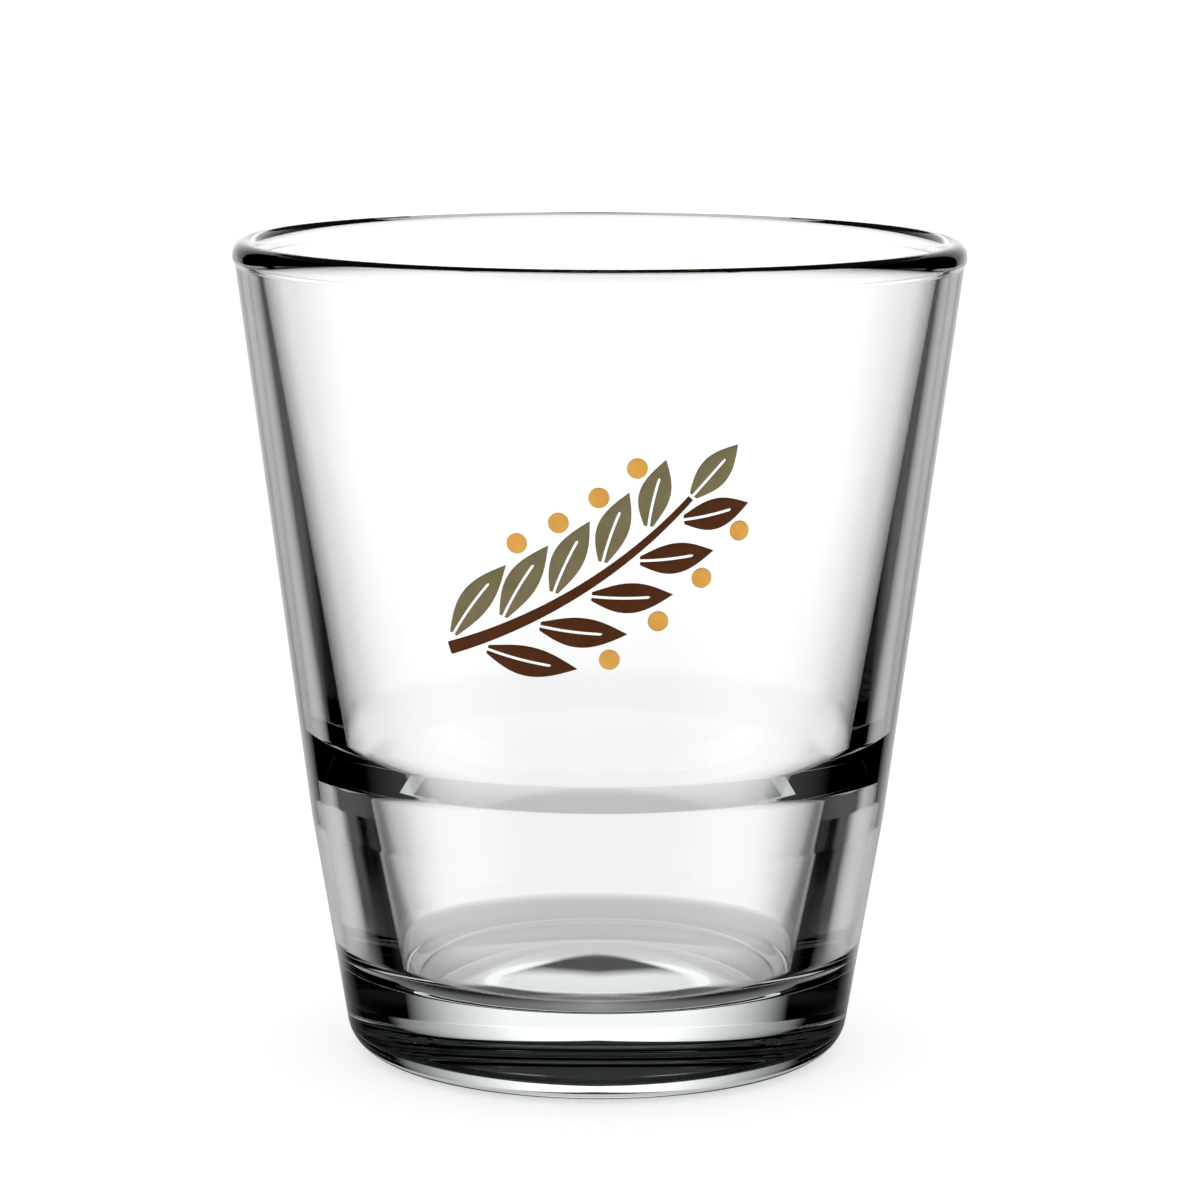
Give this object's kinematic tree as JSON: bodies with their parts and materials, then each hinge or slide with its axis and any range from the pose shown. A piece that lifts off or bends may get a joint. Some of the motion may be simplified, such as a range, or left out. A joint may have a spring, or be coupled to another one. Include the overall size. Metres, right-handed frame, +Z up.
{
  "type": "water tumbler",
  "caption": "Clear pressed-glass stacking tumbler with a flared wall, inside stacking ledge, heavy base and a fired enamel sprig print; holds a drink.",
  "frame": {"origin": "centre of the base, on the plane the tumbler stands on", "axes": "+Z up the tumbler's axis towards the rim; the print faces -Y; +X to the right of the print"},
  "size_m": [0.085, 0.085, 0.0956],
  "materials": {
    "clear_glass": "clear fire-polished soda-lime glass with a faint green cast in thick sections",
    "olive_enamel": "olive vitreous enamel, screen printed and fired, satin gloss",
    "ochre_enamel": "ochre vitreous enamel, screen printed and fired, satin gloss",
    "brown_enamel": "dark brown vitreous enamel, screen printed and fired, satin gloss"
  },
  "bodies": {
    "root": {"enamel_berry_lower_1": "ochre_enamel", "enamel_berry_lower_2": "ochre_enamel", "enamel_berry_lower_3": "ochre_enamel", "enamel_berry_lower_4": "ochre_enamel", "enamel_berry_upper_1": "ochre_enamel", "enamel_berry_upper_2": "ochre_enamel", "enamel_berry_upper_3": "ochre_enamel", "enamel_berry_upper_4": "ochre_enamel", "enamel_leaf_lower_1": "brown_enamel", "enamel_leaf_lower_2": "brown_enamel", "enamel_leaf_lower_3": "brown_enamel", "enamel_leaf_lower_4": "brown_enamel", "enamel_leaf_lower_5": "brown_enamel", "enamel_leaf_tip": "olive_enamel", "enamel_leaf_upper_1": "olive_enamel", "enamel_leaf_upper_2": "olive_enamel", "enamel_leaf_upper_3": "olive_enamel", "enamel_leaf_upper_4": "olive_enamel", "enamel_leaf_upper_5": "olive_enamel", "enamel_stem": "brown_enamel", "glass_body": "clear_glass"}
  },
  "joints": []
}
